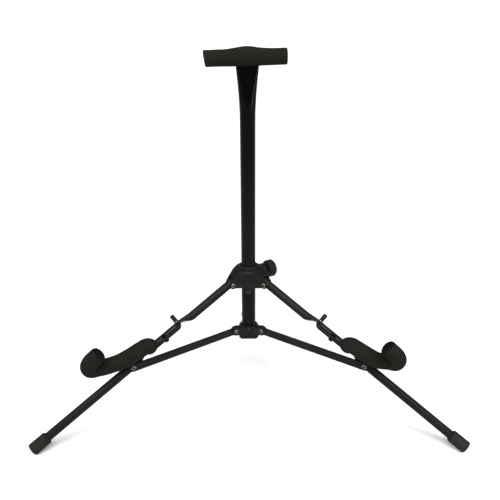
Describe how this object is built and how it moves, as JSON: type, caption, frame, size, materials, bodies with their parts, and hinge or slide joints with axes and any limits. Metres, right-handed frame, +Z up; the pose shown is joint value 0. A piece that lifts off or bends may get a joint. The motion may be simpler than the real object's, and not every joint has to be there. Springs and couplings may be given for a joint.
{
  "type": "saxophone stand",
  "caption": "Folding black tripod instrument stand: one round post on a three-leg riveted base with rubber feet, a padded T rest on top and two padded hooked cradle arms on the front legs.",
  "frame": {"origin": "middle of the footprint's bounding box, on the floor", "axes": "+X to the right seen from the cradle side, -Y towards the side the instrument rests on, +Z up the post"},
  "size_m": [0.7278, 0.633, 0.6149],
  "materials": {
    "satin_steel": "satin",
    "gloss_steel": "gloss",
    "nylon": "matte",
    "foam": "matte",
    "rubber": "matte",
    "zinc": "satin",
    "brass": "satin"
  },
  "bodies": {
    "post": {"post_tube": "gloss_steel", "t_bar": "satin_steel", "t_foam": "foam", "lower_hub": "nylon", "hub_screw": "zinc", "stop_screw": "zinc", "lug_rivet_left": "zinc", "lug_rivet_right": "zinc", "lug_rivet_rear": "zinc"},
    "sliding_hub": {"upper_hub": "nylon", "clamp_nut": "brass", "leg_rivet_left": "zinc", "leg_rivet_right": "zinc", "leg_rivet_rear": "zinc"},
    "pad": {"clamp_pad": "nylon"},
    "clamp": {"knob": "nylon", "knob_stud": "zinc"},
    "strut_left_body": {"strut_left": "satin_steel", "strut_rivet_left": "zinc"},
    "leg_left_body": {"leg_left": "satin_steel", "foot_left": "rubber", "arm_clip_left": "satin_steel"},
    "strut_right_body": {"strut_right": "satin_steel", "strut_rivet_right": "zinc"},
    "leg_right_body": {"leg_right": "satin_steel", "foot_right": "rubber", "arm_clip_right": "satin_steel"},
    "strut_rear_body": {"strut_rear": "satin_steel", "strut_rivet_rear": "zinc"},
    "leg_rear_body": {"leg_rear": "satin_steel", "foot_rear": "rubber"},
    "arm_left": {"arm_rod_left": "satin_steel", "arm_foam_left": "foam", "arm_ring_left": "zinc"},
    "arm_right": {"arm_rod_right": "satin_steel", "arm_foam_right": "foam", "arm_ring_right": "zinc"}
  },
  "joints": [
    {"name": "hub_slide", "type": "slide", "parent": "post", "child": "sliding_hub", "axis": [0, 0, 1], "range_m": [0, 0.235]},
    {"name": "strut_left_fold", "type": "hinge", "parent": "post", "child": "strut_left_body", "pos_m": [-0.02901, -0.11654, 0.119], "axis": [-0.5, 0.866, 0], "range_deg": [0, 51.51]},
    {"name": "leg_left_fold", "type": "hinge", "parent": "strut_left_body", "child": "leg_left_body", "pos_m": [-0.20103, -0.21586, 0.11052], "axis": [0.5, -0.866, 0], "range_deg": [0, 78.19]},
    {"name": "strut_right_fold", "type": "hinge", "parent": "post", "child": "strut_right_body", "pos_m": [0.02901, -0.11654, 0.119], "axis": [-0.5, -0.866, 0], "range_deg": [0, 51.51]},
    {"name": "leg_right_fold", "type": "hinge", "parent": "strut_right_body", "child": "leg_right_body", "pos_m": [0.20103, -0.21586, 0.11052], "axis": [0.5, 0.866, 0], "range_deg": [0, 78.19]},
    {"name": "strut_rear_fold", "type": "hinge", "parent": "post", "child": "strut_rear_body", "pos_m": [0, -0.06629, 0.119], "axis": [1, 0, 0], "range_deg": [0, 51.51]},
    {"name": "leg_rear_fold", "type": "hinge", "parent": "strut_rear_body", "child": "leg_rear_body", "pos_m": [0, 0.13234, 0.11052], "axis": [-1, 0, 0], "range_deg": [0, 78.19]},
    {"name": "arm_left_swing", "type": "hinge", "parent": "leg_left_body", "child": "arm_left", "pos_m": [-0.12104, -0.16968, 0.15943], "axis": [-0.6529, 0.5076, 0.5622], "range_deg": [0, 115]},
    {"name": "arm_right_swing", "type": "hinge", "parent": "leg_right_body", "child": "arm_right", "pos_m": [0.12104, -0.16968, 0.15943], "axis": [-0.6529, -0.5076, -0.5622], "range_deg": [0, 115]},
    {"name": "knob_turn", "type": "hinge", "parent": "pad", "child": "clamp", "pos_m": [0.01108, -0.09339, 0.2255], "axis": [0.866, 0.5, 0], "range_deg": [0, 720]},
    {"name": "pad_travel", "type": "slide", "parent": "sliding_hub", "child": "pad", "axis": [0.866, 0.5, 0], "range_m": [0, 0.003]}
  ],
  "couplings": [
    {"joint": "strut_left_fold", "follows": "hub_slide", "rad_per_m": 3.8245},
    {"joint": "leg_left_fold", "follows": "hub_slide", "rad_per_m": 5.8065},
    {"joint": "strut_right_fold", "follows": "hub_slide", "rad_per_m": 3.8245},
    {"joint": "leg_right_fold", "follows": "hub_slide", "rad_per_m": 5.8065},
    {"joint": "strut_rear_fold", "follows": "hub_slide", "rad_per_m": 3.8245},
    {"joint": "leg_rear_fold", "follows": "hub_slide", "rad_per_m": 5.8065},
    {"joint": "pad_travel", "follows": "knob_turn", "m_per_rad": 0.00023873}
  ]
}
